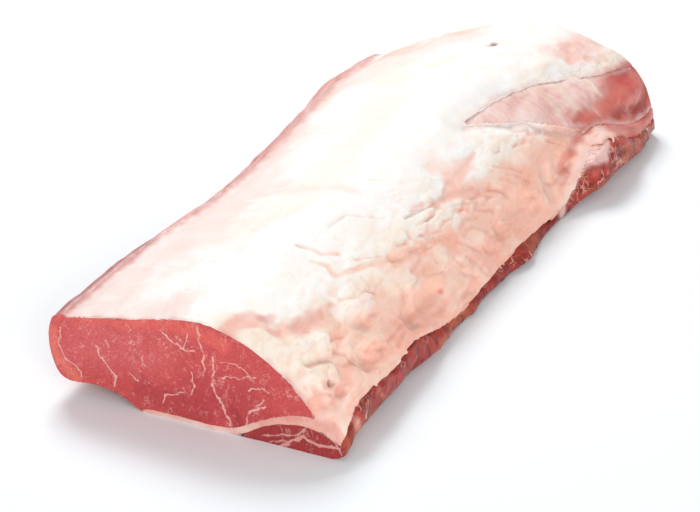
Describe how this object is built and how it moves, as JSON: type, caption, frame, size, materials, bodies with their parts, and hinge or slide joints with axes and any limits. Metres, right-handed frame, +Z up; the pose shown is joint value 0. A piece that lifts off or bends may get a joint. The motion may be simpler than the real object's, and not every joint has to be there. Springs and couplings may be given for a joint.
{
  "type": "boneless pork loin",
  "caption": "Raw boneless pork loin: a long slab of lean meat under a cover of white fat, sliced square across one end.",
  "frame": {"origin": "middle of the loin's bounding box in plan, on the surface that it lies on", "axes": "+X along the loin from the sliced face to the far end, +Y to the edge where the cover is thinnest, +Z up"},
  "size_m": [0.4034, 0.164, 0.0615],
  "materials": {
    "lean": "moist raw lean meat with fine marbling",
    "fat": "soft white to pink fat, slightly greasy",
    "chain": "moist dark red side muscle"
  },
  "bodies": {
    "root": {"loin_eye": "lean", "fat_cover": "fat", "chain_muscle": "chain"}
  },
  "joints": []
}
